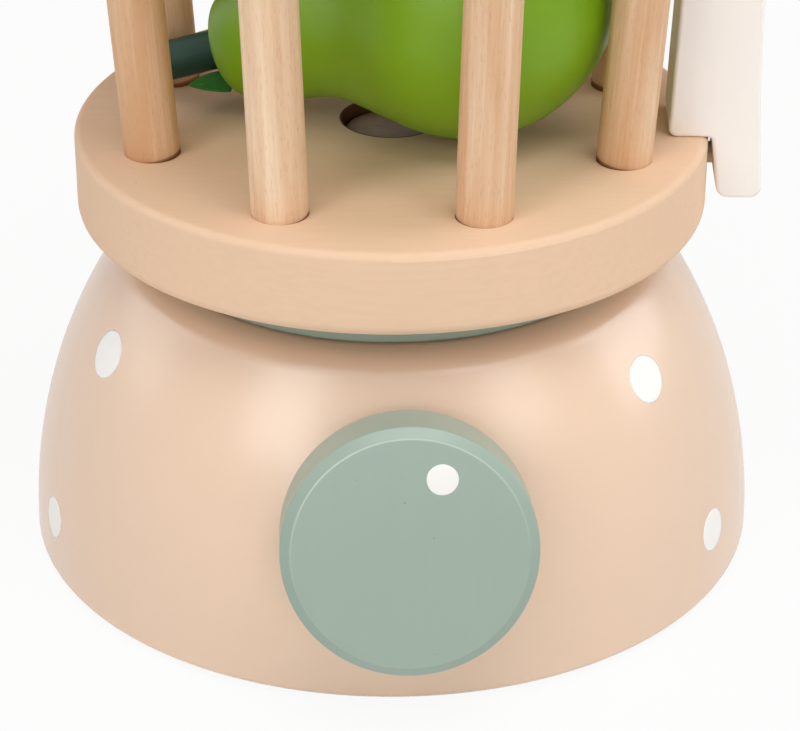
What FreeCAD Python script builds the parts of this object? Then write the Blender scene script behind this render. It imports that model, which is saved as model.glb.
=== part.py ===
"""Toy blender in painted beech: a hollow turned base with a clicking knob, a
turntable, a lift-off jug caged by dowels, a lid, and a play pear in the jug.

Millimetres, +Z up. The origin is on the floor, under the centre of the base.
The handle points along +X and the knob looks roughly along -Y.
"""
import FreeCAD, Part
import math
import os

Vector = FreeCAD.Vector

# ---- base: felt, plate and dome ------------------------------------------------------
base_radius = 69.4          # widest, at the bottom edge
base_height = 58.0
base_top_inset = 18.7       # the curved side draws in by this much up to the flat top
base_top_round = 6.0
base_foot_round = 1.2
base_foot_width = 11.4      # ring of wood around the plate
plate_ledge = 8.0           # ring of wood that the plate is screwed to
plate_thickness = 5.0
plate_gap = 0.15            # radial gap of the plate in its rebate
felt_inset = 1.0            # inside the plate's edge
felt_thickness = 1.0
web_thickness = 15.0        # solid wood above the cavity

plate_screw_count = 4
plate_screw_radius = 1.5
plate_screw_length = 15.0
plate_screw_head_radius = 3.0
plate_screw_turn = 45.0     # degrees from +X to the first screw

# ---- turntable -----------------------------------------------------------------------
turntable_inset = 5.2       # inside the base's flat top, rounding included
turntable_thickness = 7.7
turntable_round = 0.8
turntable_gap = 0.3         # running gap over the base
peg_radius = 8.8
peg_clearance = 0.06        # running fit in the base
peg_recess = 2.2            # peg top below the jug floor's top
peg_end_round = 0.8
peg_washer_overlap = 5.2    # radial, outside the peg
peg_washer_thickness = 1.5
peg_washer_gap = 0.4        # end play under the web
peg_screw_radius = 2.0
peg_screw_length = 24.0
peg_screw_head_radius = 4.5
peg_screw_head_height = 2.5

# ---- jug -----------------------------------------------------------------------------
jug_radius = 58.3
jug_floor_thickness = 15.7
jug_round = 1.3
jug_lower_round = 2.2
jug_hole_gap = 0.5          # radial, around the peg
dowel_count = 8
dowel_radius = 5.0
dowel_inset = 12.6          # dowel axes, inside the edge of floor and rim
cage_height = 100.0         # floor top to rim underside
floor_socket_depth = 10.0
rim_socket_depth = 8.0
cage_flare = 6.5            # dowels lean out by this much up to the rim
rim_mouth_wall = 3.7        # wood between the mouth and the dowels' sockets
rim_thickness = 14.0
rim_round = 2.0

# ---- handle --------------------------------------------------------------------------
handle_thickness = 15.0
handle_shoulder = 7.7       # how far the handle reaches in over the floor's edge
handle_inner_bulge = 0.9    # the inner edge bows towards the cage
handle_waist = 4.3          # the outer edge bows in by this much midway
handle_reach = 9.95         # outer edge outside the edges of floor and rim
handle_leg_drop = 12.0      # length of each leg past the notch
handle_leg_slant = 1.5      # each leg's inner face leans away by this much
handle_rim_gap = 0.2        # gap between a leg and the edge that it overlaps
handle_leg_inner_round = 2.3
handle_leg_outer_round = 2.1
handle_edge_round = 0.8
handle_notch_round = 1.6
handle_notch_fillet = 1.0   # inside corner, clear of the floor's and rim's rounded edges
handle_pin_radius = 2.0
handle_pin_depth = 8.0      # into the disc
handle_pin_reach = 5.0      # into the leg
handle_pin_drop = 6.0       # from the notch to the pin's axis

# ---- lid -----------------------------------------------------------------------------
lid_inset = 3.3             # inside the rim's edge
lid_thickness = 9.0
lid_round = 2.0
plug_gap = 1.0              # radial, in the rim's mouth
plug_depth = 7.0
plug_round = 1.0
lid_knob_radius = 13.5
lid_knob_neck_radius = 8.5
lid_knob_neck_height = 5.0
lid_knob_height = 17.0
lid_knob_round = 4.0
lid_screw_radius = 2.0
lid_screw_head_radius = 4.0
lid_screw_head_height = 2.4
lid_screw_bite = 10.0       # thread length in the lid knob

# ---- knob and click work -------------------------------------------------------------
knob_turn = 4.55            # degrees from -Y towards +X
knob_tilt = 14.2            # degrees, looking up
knob_height = 31.6          # where its axis leaves the base, above the base's edge
knob_radius = 22.05
knob_thickness = 12.85
knob_bevel_width = 1.7
knob_bevel_depth = 1.4
knob_bevel_round = 0.35
knob_back_round = 0.7
knob_gap = 0.3              # between the knob and its felt washer
knob_washer_width = 8.5     # radial, outside the shaft
knob_washer_thickness = 1.6
knob_seat_margin = 1.0      # flat seat outside the washer
washer_hole_gap = 0.2       # radial, around the shaft
knob_bore_depth = 8.0
shaft_radius = 4.0
shaft_clearance = 0.06      # running fit in the base
wall_at_knob = 12.5         # seat of the click wheel, inwards from the dome
wheel_width = 8.0           # radial, outside the shaft
wheel_thickness = 6.0
wheel_gap = 0.4
wheel_notches = 12
notch_radius = 1.6
notch_depth = 1.2
wheel_pocket_margin = 3.0
shaft_screw_radius = 1.5
shaft_screw_length = 12.0
shaft_screw_head_overlap = 1.5
shaft_screw_head_height = 2.4
spring_wire_radius = 0.8
spring_clearance = 0.3      # wire above the wheel's rim
spring_bend_radius = 3.0
spring_anchor_reach = 22.0  # wire's inner end, from the base's axis
spring_knee_reach = 34.0    # where the wire leaves the web
spring_tail = 3.0           # wire past the wheel's middle, each way
spring_screw_radius = 1.4
spring_screw_length = 9.0
spring_screw_head_radius = 3.4
spring_screw_head_height = 1.8
spring_screw_reach = 26.0

# ---- play pear, lying on its side in the jug -----------------------------------------
pear_lift = 0.3             # above the jug floor
pear_belly_radius = 27.0
pear_waist_radius = 14.1
pear_waist_taper = 0.47     # the side draws in by this share of its length there
pear_neck_radius = 12.3
pear_neck_taper = 0.29
pear_end_radius = 6.0
pear_belly_to_waist = 28.2
pear_waist_to_neck = 8.5
pear_end_clearance = 10.8   # the neck stops this far short of the stem's dowel
belly_pull = 0.44           # how far the belly's curve runs on, as a share of the chord
waist_pull = 0.32
end_pull = 0.42
pear_gap = 1.05             # between the belly and the nearest dowel
pear_azimuth = -18.2        # degrees from +X, of the belly
stem_dowel = 4              # the stem passes beside this dowel
stem_gap = 0.45             # between that dowel's foot and the stem
stem_height = 2.0           # lowest point of the stem's tip above the belly's
stem_radius = 3.7
stem_length = 16.4
stem_sink = 4.0             # stem let into the neck
stem_tip_round = 0.6
leaf_thickness = 1.0
leaf_width = 5.0
leaf_root = (-7.45, -4.52, 9.60)  # from the neck's end: along the pear, forwards, down
leaf_tip = (6.20, 7.42, 3.18)     # the same for the tip; the root is cut off at the neck's end
leaf_roll = 68.0            # degrees, from standing on edge to lying flat

fit_gap = 0.05              # glued and screwed joints, radial
overrun = 1.0               # how far a cutting solid runs past a face
screw_head_round = 0.4      # share of a screw head's height


# ---- derived sizes, levels and directions --------------------------------------------
plate_radius = base_radius - base_foot_width
felt_radius = plate_radius - felt_inset
cavity_radius = plate_radius - plate_ledge
plate_screw_circle = (plate_radius + cavity_radius) / 2
base_top_radius = base_radius - base_top_inset
turntable_radius = base_top_radius - turntable_inset
peg_washer_radius = peg_radius + peg_washer_overlap
dowel_circle = jug_radius - dowel_inset
dowel_circle_top = dowel_circle + cage_flare
rim_radius = jug_radius + cage_flare
rim_mouth_radius = dowel_circle_top - dowel_radius - rim_mouth_wall
lid_radius = rim_radius - lid_inset
knob_washer_radius = shaft_radius + knob_washer_width
wheel_radius = shaft_radius + wheel_width
shaft_screw_head_radius = shaft_radius + shaft_screw_head_overlap

base_bottom = felt_thickness
base_top = base_bottom + base_height
plate_top = base_bottom + plate_thickness
web_bottom = base_top - web_thickness
turntable_bottom = base_top + turntable_gap
floor_bottom = turntable_bottom + turntable_thickness
floor_top = floor_bottom + jug_floor_thickness
rim_bottom = floor_top + cage_height
rim_top = rim_bottom + rim_thickness
lid_top = rim_top + lid_thickness
base_curve_height = base_height / math.sqrt(1 - (base_top_radius / base_radius) ** 2)
UP = Vector(0, 0, 1)


def base_radius_at(height):
    """Radius of the dome's elliptical side at a height above the base's edge."""
    return base_radius * math.sqrt(1 - (height / base_curve_height) ** 2)


def cylinder(radius, length, start, direction=UP):
    return Part.makeCylinder(radius, length, start, direction)


def bore(radius, bottom, top):
    """Cutting cylinder on Z that runs past both levels."""
    return cylinder(radius, top - bottom + 2 * overrun, Vector(0, 0, bottom - overrun))


def turned(edges):
    """Solid of revolution about Z from edges that close a profile in the XZ plane."""
    face = Part.Face(Part.Wire(edges))
    return face.revolve(Vector(0, 0, 0), UP, 360)


def line(first, second):
    return Part.LineSegment(Vector(first[0], 0, first[1]), Vector(second[0], 0, second[1])).toShape()


def arc(first, middle, last):
    ends = [Vector(x, 0, z) for x, z in (first, middle, last)]
    return Part.Arc(*ends).toShape()


def round_edges(solid, radius, chosen):
    """Fillet the edges for which chosen(edge) is true."""
    return solid.makeFillet(radius, [edge for edge in solid.Edges if chosen(edge)])


def circle_at(radius, level):
    """Test for an edge that is a full level circle of this radius at this height."""
    def chosen(edge):
        curve = edge.Curve
        if not isinstance(curve, Part.Circle):
            return False
        return abs(curve.Radius - radius) < 1e-4 and abs(curve.Center.z - level) < 1e-4
    return chosen


def disc(radius, bottom, top, edge_round):
    """Flat round board with both outer edges rounded."""
    board = cylinder(radius, top - bottom, Vector(0, 0, bottom))
    return round_edges(board, edge_round, lambda edge: isinstance(edge.Curve, Part.Circle))


def wood_screw(radius, length, head_radius, head_height):
    """Pan-head screw along local +Z, its head below the local origin."""
    shank = cylinder(radius, length, Vector(0, 0, 0))
    head = cylinder(head_radius, head_height, Vector(0, 0, -head_height))
    head = round_edges(head, head_height * screw_head_round, circle_at(head_radius, -head_height))
    return shank.fuse(head).removeSplitter()


def save(node, *solids):
    shape = solids[0] if len(solids) == 1 else Part.makeCompound(list(solids))
    shape.exportStep("parts/" + node + ".step")
    print(node, len(shape.Solids), round(shape.Volume, 1))


# ---- directions of the knob: local +Z leaves the base along the knob's axis ----------
knob_azimuth = math.radians(knob_turn)
knob_rise = math.radians(knob_tilt)
outwards = Vector(math.sin(knob_azimuth), -math.cos(knob_azimuth), 0)
knob_axis = outwards * math.cos(knob_rise) + UP * math.sin(knob_rise)
knob_sideways = Vector(math.cos(knob_azimuth), math.sin(knob_azimuth), 0)
knob_upwards = knob_axis.cross(knob_sideways)
knob_root = outwards * base_radius_at(knob_height) + UP * (base_bottom + knob_height)
knob_frame = FreeCAD.Placement(FreeCAD.Matrix(
    knob_sideways.x, knob_upwards.x, knob_axis.x, knob_root.x,
    knob_sideways.y, knob_upwards.y, knob_axis.y, knob_root.y,
    knob_sideways.z, knob_upwards.z, knob_axis.z, knob_root.z,
    0, 0, 0, 1))


def at_knob(shape):
    """Move a shape from the knob's local frame to its place on the base."""
    return shape.transformed(knob_frame.toMatrix())


def knob_cylinder(radius, low, high):
    """Cylinder on the knob's axis between two distances from the dome."""
    return cylinder(radius, high - low, knob_root + knob_axis * low, knob_axis)


washer_seat = -knob_washer_thickness
wheel_seat = -wall_at_knob
wheel_front = wheel_seat - wheel_gap
wheel_back = wheel_front - wheel_thickness
knob_back = knob_gap
shaft_front = knob_back + knob_bore_depth - fit_gap


# ---- base ----------------------------------------------------------------------------
def make_base_dome():
    side = Part.Ellipse(Vector(0, 0, base_bottom + base_curve_height),
                        Vector(base_radius, 0, base_bottom),
                        Vector(0, 0, base_bottom))
    top_angle = math.acos(base_height / base_curve_height)
    side_edge = Part.ArcOfEllipse(side, top_angle, math.pi / 2).toShape()
    rebate = plate_radius + plate_gap
    profile = [
        side_edge,
        line((base_radius, base_bottom), (rebate, base_bottom)),
        line((rebate, base_bottom), (rebate, plate_top)),
        line((rebate, plate_top), (cavity_radius, plate_top)),
        line((cavity_radius, plate_top), (cavity_radius, web_bottom)),
        line((cavity_radius, web_bottom), (0, web_bottom)),
        line((0, web_bottom), (0, base_top)),
        line((0, base_top), (base_top_radius, base_top)),
    ]
    dome = turned(Part.__sortEdges__(profile))
    dome = round_edges(dome, base_top_round, circle_at(base_top_radius, base_top))
    dome = round_edges(dome, base_foot_round, circle_at(base_radius, base_bottom))
    dome = dome.cut(bore(peg_radius + peg_clearance, web_bottom, base_top))
    dome = dome.cut(knob_cylinder(shaft_radius + shaft_clearance, wheel_seat - overrun, overrun))
    dome = dome.cut(knob_cylinder(knob_washer_radius + knob_seat_margin, washer_seat, knob_radius))
    dome = dome.cut(knob_cylinder(wheel_radius + wheel_pocket_margin, wheel_seat - knob_radius, wheel_seat))
    for place in plate_screw_places():
        pilot = cylinder(plate_screw_radius + fit_gap, plate_screw_length, place)
        dome = dome.cut(pilot)
    start = spring_screw_place()
    dome = dome.cut(cylinder(spring_screw_radius + fit_gap, spring_screw_length, start))
    return dome


def plate_screw_places():
    """Where the screws enter the plate, on its underside."""
    places = []
    for index in range(plate_screw_count):
        angle = math.radians(plate_screw_turn + 360.0 * index / plate_screw_count)
        x = plate_screw_circle * math.cos(angle)
        y = plate_screw_circle * math.sin(angle)
        places.append(Vector(x, y, base_bottom))
    return places


def countersunk_screw(place):
    """Flat-head screw going up from the plate's underside."""
    shank = cylinder(plate_screw_radius, plate_screw_length - fit_gap, place)
    head = Part.makeCone(plate_screw_head_radius, plate_screw_radius,
                         plate_screw_head_radius - plate_screw_radius, place)
    return shank.fuse(head).removeSplitter()


def make_base_plate():
    plate = cylinder(plate_radius, plate_thickness, Vector(0, 0, base_bottom))
    wide = plate_screw_head_radius + fit_gap
    narrow = plate_screw_radius + fit_gap
    for place in plate_screw_places():
        sink = Part.makeCone(wide, narrow, wide - narrow, place)
        plate = plate.cut(sink.fuse(cylinder(narrow, plate_thickness, place)))
    return plate


# ---- turntable -----------------------------------------------------------------------
def make_turntable():
    plate = disc(turntable_radius, turntable_bottom, floor_bottom, turntable_round)
    return plate.cut(bore(peg_radius + fit_gap, turntable_bottom, floor_bottom))


peg_bottom = web_bottom - peg_washer_gap
peg_top = floor_top - peg_recess
peg_screw_head_level = peg_bottom - peg_washer_thickness


def make_peg():
    peg = cylinder(peg_radius, peg_top - peg_bottom, Vector(0, 0, peg_bottom))
    peg = round_edges(peg, peg_end_round, circle_at(peg_radius, peg_top))
    pilot = cylinder(peg_screw_radius + fit_gap, peg_screw_length, Vector(0, 0, peg_screw_head_level))
    return peg.cut(pilot)


def make_peg_washer():
    ring = cylinder(peg_washer_radius, peg_washer_thickness, Vector(0, 0, peg_screw_head_level))
    return ring.cut(bore(peg_screw_radius + fit_gap, peg_screw_head_level, peg_bottom))


def make_peg_screw():
    length = peg_screw_length - fit_gap
    screw = wood_screw(peg_screw_radius, length, peg_screw_head_radius, peg_screw_head_height)
    screw.translate(Vector(0, 0, peg_screw_head_level))
    return screw


# ---- jug -----------------------------------------------------------------------------
def dowel_axis(index):
    """Foot and head of a dowel's axis, and the unit vector up along it."""
    angle = math.radians(360.0 * (index + 0.5) / dowel_count)
    radial = Vector(math.cos(angle), math.sin(angle), 0)
    foot = radial * dowel_circle + UP * floor_top
    head = radial * dowel_circle_top + UP * rim_bottom
    along = head.sub(foot).normalize()
    return foot, head, along


def make_dowel(index):
    foot, head, along = dowel_axis(index)
    length = head.sub(foot).Length + floor_socket_depth + rim_socket_depth - 2 * fit_gap
    return cylinder(dowel_radius, length, foot.sub(along * (floor_socket_depth - fit_gap)), along)


def handle_pin(radius, edge_radius, level, extra=0.0):
    """Pin along X that joins a leg of the handle to the disc's edge."""
    start = edge_radius - handle_pin_depth - extra
    end = edge_radius + handle_rim_gap + handle_leg_slant + handle_pin_reach + extra
    return cylinder(radius, end - start, Vector(start, 0, level), Vector(1, 0, 0))


low_pin_level = floor_top - handle_pin_drop
high_pin_level = rim_bottom + handle_pin_drop


def make_jug_floor():
    board = cylinder(jug_radius, floor_top - floor_bottom, Vector(0, 0, floor_bottom))
    board = round_edges(board, jug_round, circle_at(jug_radius, floor_top))
    board = round_edges(board, jug_lower_round, circle_at(jug_radius, floor_bottom))
    board = board.cut(bore(peg_radius + jug_hole_gap, floor_bottom, floor_top))
    for index in range(dowel_count):
        foot, head, along = dowel_axis(index)
        bottom = foot.sub(along * floor_socket_depth)
        board = board.cut(cylinder(dowel_radius + fit_gap, floor_socket_depth + 2 * overrun, bottom, along))
    return board.cut(handle_pin(handle_pin_radius + fit_gap, jug_radius, low_pin_level, fit_gap))


def make_rim():
    board = disc(rim_radius, rim_bottom, rim_top, rim_round)
    board = board.cut(bore(rim_mouth_radius, rim_bottom, rim_top))
    board = round_edges(board, rim_round, circle_at(rim_mouth_radius, rim_bottom))
    board = round_edges(board, rim_round, circle_at(rim_mouth_radius, rim_top))
    for index in range(dowel_count):
        foot, head, along = dowel_axis(index)
        start = head.sub(along * 2 * overrun)
        board = board.cut(cylinder(dowel_radius + fit_gap, rim_socket_depth + 2 * overrun, start, along))
    return board.cut(handle_pin(handle_pin_radius + fit_gap, rim_radius, high_pin_level, fit_gap))


def make_handle():
    """Waisted board whose two notches hold the floor's edge and the rim's edge."""
    inner_foot = (jug_radius - handle_shoulder, floor_top)
    inner_head = (rim_radius - handle_shoulder, rim_bottom)
    inner_middle = ((inner_foot[0] + inner_head[0]) / 2 - handle_inner_bulge, (floor_top + rim_bottom) / 2)
    notch_foot = (jug_radius + handle_rim_gap, floor_top)
    notch_head = (rim_radius + handle_rim_gap, rim_bottom)
    leg_foot = (notch_foot[0] + handle_leg_slant, floor_top - handle_leg_drop)
    leg_head = (notch_head[0] + handle_leg_slant, rim_bottom + handle_leg_drop)
    outer_foot = (jug_radius + handle_reach, leg_foot[1])
    outer_head = (rim_radius + handle_reach, leg_head[1])
    outer_waist = ((outer_foot[0] + outer_head[0]) / 2 - handle_waist, (floor_top + rim_bottom) / 2)
    outline = [
        arc(inner_foot, inner_middle, inner_head),
        line(inner_head, notch_head),
        line(notch_head, leg_head),
        line(leg_head, outer_head),
        arc(outer_head, outer_waist, outer_foot),
        line(outer_foot, leg_foot),
        line(leg_foot, notch_foot),
        line(notch_foot, inner_foot),
    ]
    face = Part.Face(Part.Wire(Part.__sortEdges__(outline)))
    face.translate(Vector(0, -handle_thickness / 2, 0))
    board = face.extrude(Vector(0, handle_thickness, 0))

    def corner(points):
        def chosen(edge):
            middle = edge.BoundBox.Center
            upright = edge.BoundBox.YLength > handle_thickness * 0.9
            return upright and any(math.hypot(middle.x - x, middle.z - z) < 1e-3 for x, z in points)
        return chosen

    board = round_edges(board, handle_leg_inner_round, corner([leg_foot, leg_head]))
    board = round_edges(board, handle_leg_outer_round, corner([outer_foot, outer_head]))
    board = round_edges(board, handle_notch_round, corner([inner_foot, inner_head]))
    board = round_edges(board, handle_notch_fillet, corner([notch_foot, notch_head]))
    long_faces = [face for face in board.Faces if abs(face.BoundBox.YLength) < 1e-6]
    rims = [edge for face in long_faces for edge in face.Edges]
    board = board.makeFillet(handle_edge_round, rims)
    board = board.cut(handle_pin(handle_pin_radius + fit_gap, jug_radius, low_pin_level, fit_gap))
    return board.cut(handle_pin(handle_pin_radius + fit_gap, rim_radius, high_pin_level, fit_gap))


# ---- lid -----------------------------------------------------------------------------
plug_bottom = rim_top - plug_depth
lid_screw_length = plug_depth + lid_thickness + lid_screw_bite - lid_screw_head_height
lid_screw_level = plug_bottom + lid_screw_head_height


def lid_screw_hole():
    return cylinder(lid_screw_radius + fit_gap, lid_screw_length, Vector(0, 0, lid_screw_level))


def make_lid_disc():
    return disc(lid_radius, rim_top, lid_top, lid_round).cut(lid_screw_hole())


def make_lid_plug():
    radius = rim_mouth_radius - plug_gap
    plug = cylinder(radius, plug_depth, Vector(0, 0, plug_bottom))
    plug = round_edges(plug, plug_round, circle_at(radius, plug_bottom))
    head = cylinder(lid_screw_head_radius + fit_gap, lid_screw_head_height, Vector(0, 0, plug_bottom))
    return plug.cut(lid_screw_hole()).cut(head)


def make_lid_knob():
    """Turned mushroom: a narrow neck under a wide rounded head."""
    low = lid_top
    neck_top = low + lid_knob_neck_height
    top = low + lid_knob_height
    profile = [
        line((0, low), (lid_knob_neck_radius, low)),
        line((lid_knob_neck_radius, low), (lid_knob_neck_radius, neck_top)),
        line((lid_knob_neck_radius, neck_top), (lid_knob_radius, neck_top)),
        line((lid_knob_radius, neck_top), (lid_knob_radius, top)),
        line((lid_knob_radius, top), (0, top)),
        line((0, top), (0, low)),
    ]
    knob = turned(profile)
    knob = round_edges(knob, lid_knob_round, circle_at(lid_knob_radius, top))
    knob = round_edges(knob, lid_knob_round / 2, circle_at(lid_knob_radius, neck_top))
    return knob.cut(lid_screw_hole())


def make_lid_screw():
    length = lid_screw_length - fit_gap
    screw = wood_screw(lid_screw_radius, length, lid_screw_head_radius, lid_screw_head_height)
    screw.translate(Vector(0, 0, lid_screw_level))
    return screw


# ---- knob and click work -------------------------------------------------------------
def make_knob():
    """Thick disc on the knob's axis with a bevelled face and a blind bore in its back."""
    front = knob_back + knob_thickness
    shoulder = front - knob_bevel_depth
    body = cylinder(knob_radius, shoulder - knob_back, Vector(0, 0, knob_back))
    face_radius = knob_radius - knob_bevel_width
    bevel = Part.makeCone(knob_radius, face_radius, knob_bevel_depth, Vector(0, 0, shoulder))
    knob = body.fuse(bevel)
    knob = round_edges(knob, knob_bevel_round, circle_at(face_radius, front))
    knob = round_edges(knob, knob_bevel_round, circle_at(knob_radius, shoulder))
    knob = round_edges(knob, knob_back_round, circle_at(knob_radius, knob_back))
    knob = knob.cut(cylinder(shaft_radius + fit_gap, knob_bore_depth, Vector(0, 0, knob_back)))
    return at_knob(knob)


def make_knob_washer():
    ring = knob_cylinder(knob_washer_radius, washer_seat, 0)
    return ring.cut(knob_cylinder(shaft_radius + washer_hole_gap, washer_seat - overrun, overrun))


def make_shaft():
    shaft = knob_cylinder(shaft_radius, wheel_back, shaft_front)
    pilot_end = wheel_back + shaft_screw_length
    return shaft.cut(knob_cylinder(shaft_screw_radius + fit_gap, wheel_back, pilot_end))


def make_click_wheel():
    """Disc with evenly spaced round notches, one of them straight up."""
    wheel = cylinder(wheel_radius, wheel_thickness, Vector(0, 0, wheel_back))
    wheel = wheel.cut(cylinder(shaft_radius + fit_gap, wheel_thickness, Vector(0, 0, wheel_back)))
    reach = wheel_radius - notch_depth + notch_radius
    for i in range(wheel_notches):
        angle = math.pi / 2 + 2 * math.pi * i / wheel_notches
        place = Vector(reach * math.cos(angle), reach * math.sin(angle), wheel_back - overrun)
        wheel = wheel.cut(cylinder(notch_radius, wheel_thickness + 2 * overrun, place))
    return at_knob(wheel)


def make_shaft_screw():
    length = shaft_screw_length - fit_gap
    screw = wood_screw(shaft_screw_radius, length, shaft_screw_head_radius, shaft_screw_head_height)
    screw.translate(Vector(0, 0, wheel_back))
    return at_knob(screw)


def spring_screw_place():
    """Point on the web's underside, beside the wire."""
    sideways = spring_wire_radius + spring_screw_radius + fit_gap
    return outwards * spring_screw_reach + knob_sideways * sideways + UP * web_bottom


def bent_wire(points, radius, bend_radius):
    """Round wire: straight runs joined by tangent arcs of one radius."""
    edges = []
    start = points[0]
    for before, corner, after in zip(points, points[1:], points[2:]):
        incoming = corner.sub(before).normalize()
        outgoing = after.sub(corner).normalize()
        turn = incoming.getAngle(outgoing)
        setback = bend_radius * math.tan(turn / 2)
        bend_start = corner.sub(incoming * setback)
        bend_end = corner.add(outgoing * setback)
        inwards = outgoing.sub(incoming).normalize()
        middle = corner.add(inwards * (bend_radius / math.cos(turn / 2) - bend_radius))
        edges.append(Part.LineSegment(start, bend_start).toShape())
        edges.append(Part.Arc(bend_start, middle, bend_end).toShape())
        start = bend_end
    edges.append(Part.LineSegment(start, points[-1]).toShape())
    path = Part.Wire(edges)
    section = Part.Wire(Part.Circle(points[0], points[1].sub(points[0]), radius).toShape())
    return path.makePipeShell([section], True, True)


def make_click_spring():
    """Wire held under the web, its free end lifted just clear of the click wheel's top notch."""
    wire_level = web_bottom - spring_wire_radius
    anchor = outwards * spring_anchor_reach + UP * wire_level
    knee = outwards * spring_knee_reach + UP * wire_level
    over_notch = wheel_radius + spring_clearance + spring_wire_radius
    middle = knob_root + knob_axis * ((wheel_front + wheel_back) / 2) + knob_upwards * over_notch
    return bent_wire([anchor, knee, middle - knob_axis * spring_tail, middle + knob_axis * spring_tail],
                     spring_wire_radius, spring_bend_radius)


def make_spring_screw():
    head_top = 2 * spring_wire_radius
    shank_length = spring_screw_length + head_top - fit_gap
    screw = wood_screw(spring_screw_radius, shank_length,
                       spring_screw_head_radius, spring_screw_head_height)
    screw.translate(spring_screw_place() - UP * head_top)
    return screw


# ---- play pear -----------------------------------------------------------------------
def level_vector(degrees, length):
    angle = math.radians(degrees)
    return Vector(length * math.cos(angle), length * math.sin(angle), 0)


belly_height = pear_lift + pear_belly_radius
dowel_spread = cage_flare / cage_height
belly_room = dowel_circle + dowel_spread * belly_height - dowel_radius - pear_gap
pear_belly = level_vector(pear_azimuth, belly_room - pear_belly_radius)
pear_belly = pear_belly + UP * (floor_top + belly_height)
passed_foot = dowel_axis(stem_dowel - 1)[0].sub(pear_belly)
passed_reach = math.hypot(passed_foot.x, passed_foot.y)
passing_angle = math.asin((dowel_radius + stem_radius + stem_gap) / passed_reach)
pear_heading = math.atan2(passed_foot.y, passed_foot.x) + passing_angle
pear_end_reach = passed_reach * math.cos(passing_angle) - pear_end_clearance
stem_reach = pear_end_reach + stem_length
stem_slant = math.asin((pear_belly_radius - stem_height) / math.hypot(stem_reach, stem_radius))
pear_dip = stem_slant - math.atan2(stem_radius, stem_reach)
pear_direction = Vector(math.cos(pear_heading) * math.cos(pear_dip),
                        math.sin(pear_heading) * math.cos(pear_dip),
                        -math.sin(pear_dip))


def at_pear(shape):
    """Lay a shape made upright on the origin along the pear's axis, from its belly."""
    turn = FreeCAD.Rotation(UP, pear_direction)
    return shape.transformed(FreeCAD.Placement(pear_belly, turn).toMatrix())


def flowing(first, leaving, last, arriving, first_pull, last_pull):
    """Cubic curve between two profile points, its handles along the two directions."""
    start, end = Vector(first[0], 0, first[1]), Vector(last[0], 0, last[1])
    chord = end.sub(start).Length
    out = Vector(leaving[0], 0, leaving[1]).normalize() * (chord * first_pull)
    into = Vector(arriving[0], 0, arriving[1]).normalize() * (chord * last_pull)
    curve = Part.BezierCurve()
    curve.setPoles([start, start.add(out), end.sub(into), end])
    return curve.toShape()


def make_pear_body():
    """Round belly flowing through a waist into a slimmer neck with a rounded end."""
    belly_slant = pear_belly_radius * math.sqrt(0.5)
    side = (pear_belly_radius, 0)
    waist = (pear_waist_radius, pear_belly_to_waist)
    neck = (pear_neck_radius, pear_belly_to_waist + pear_waist_to_neck)
    end = (pear_end_radius, pear_end_reach)
    at_waist = (-pear_waist_taper, 1)
    at_neck = (-pear_neck_taper, 1)
    socket = stem_radius + fit_gap
    socket_end = pear_end_reach - stem_sink
    profile = [
        arc((0, -pear_belly_radius), (belly_slant, -belly_slant), side),
        flowing(side, (0, 1), waist, at_waist, belly_pull, waist_pull),
        flowing(waist, at_waist, neck, at_neck, waist_pull, waist_pull),
        flowing(neck, at_neck, end, (-1, 0.2), end_pull, end_pull),
        line(end, (socket, pear_end_reach)),
        line((socket, pear_end_reach), (socket, socket_end)),
        line((socket, socket_end), (0, socket_end)),
        line((0, socket_end), (0, -pear_belly_radius)),
    ]
    return at_pear(turned(profile))


def make_pear_stem():
    start = pear_end_reach - stem_sink + fit_gap
    tip = pear_end_reach + stem_length
    stem = cylinder(stem_radius, tip - start, Vector(0, 0, start))
    stem = round_edges(stem, stem_tip_round, circle_at(stem_radius, tip))
    return at_pear(stem)


def make_pear_leaf():
    """Felt leaf glued to the neck's end under the stem, its tip out in front.

    Two arcs meet in a point at the tip; the root is cut off at the neck's end."""
    forwards = Vector(-math.sin(pear_heading), math.cos(pear_heading), 0)
    down = forwards.cross(pear_direction)
    end = pear_belly + pear_direction * (pear_end_reach + fit_gap)
    root, tip = [end + pear_direction * reach + forwards * forward + down * below
                 for reach, forward, below in (leaf_root, leaf_tip)]
    along = tip.sub(root)
    length = along.Length
    along.normalize()
    edge = forwards - along * forwards.dot(along)
    edge.normalize()
    roll = math.radians(leaf_roll)
    face = edge * math.cos(roll) + along.cross(edge) * math.sin(roll)
    across = face.cross(along)
    bow = (length ** 2 + leaf_width ** 2) / (4 * leaf_width)
    midway = root + along * (length / 2) - face * (leaf_thickness / 2)
    blade = None
    for side in (-1, 1):
        centre = midway + across * (side * (bow - leaf_width / 2))
        half = cylinder(bow, leaf_thickness, centre, face)
        blade = half if blade is None else blade.common(half)
    past_the_end = cylinder(2 * length, 2 * length, end, pear_direction)
    return blade.common(past_the_end)


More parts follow.
